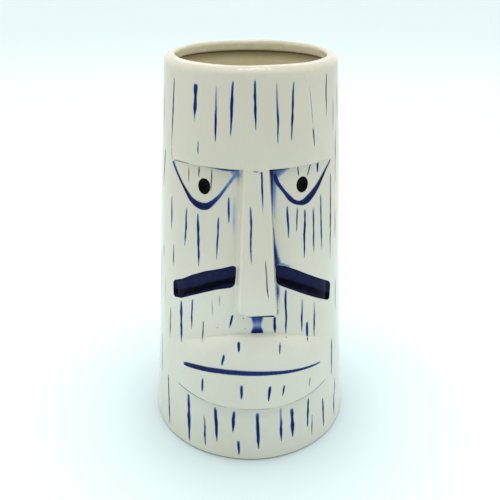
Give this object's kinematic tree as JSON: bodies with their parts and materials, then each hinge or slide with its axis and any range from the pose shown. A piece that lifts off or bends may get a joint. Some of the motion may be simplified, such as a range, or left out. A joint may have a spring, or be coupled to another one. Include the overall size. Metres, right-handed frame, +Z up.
{
  "type": "tiki mug",
  "caption": "Tall tapered ceramic tiki mug with a rolled rim, a stylised relief face with a long nose and full lips, and blue painted wood grain all round.",
  "frame": {"origin": "centre of the foot's underside, on the surface that the mug stands on", "axes": "+Z up along the mug's axis, -Y the way the face looks, +X to the right of someone looking at the face"},
  "size_m": [0.087, 0.0882, 0.16],
  "materials": {
    "cream_glaze": "gloss",
    "bare_clay": "matte",
    "inner_glaze": "gloss",
    "black_glaze": "gloss",
    "navy_pool": "gloss",
    "navy_line": "gloss",
    "blue_wash": "gloss",
    "grain_blue": "gloss"
  },
  "bodies": {
    "root": {"cast_body": "cream_glaze", "foot_ring": "bare_clay", "liner_glaze": "inner_glaze", "pupil_left": "black_glaze", "pupil_right": "black_glaze", "eye_line_left": "navy_line", "eye_line_right": "navy_line", "brow_wash_left": "blue_wash", "brow_wash_right": "blue_wash", "nose_side_wash": "blue_wash", "cheek_bar_left": "navy_pool", "cheek_bar_right": "navy_pool", "philtrum_wash": "blue_wash", "mouth_line": "navy_line", "grain_forehead": "grain_blue", "grain_eyes": "grain_blue", "grain_nose": "grain_blue", "grain_cheek_left": "grain_blue", "grain_cheek_right": "grain_blue", "grain_lips": "grain_blue", "grain_chin": "grain_blue", "grain_side_left": "grain_blue", "grain_side_right": "grain_blue", "grain_back": "grain_blue"}
  },
  "joints": []
}
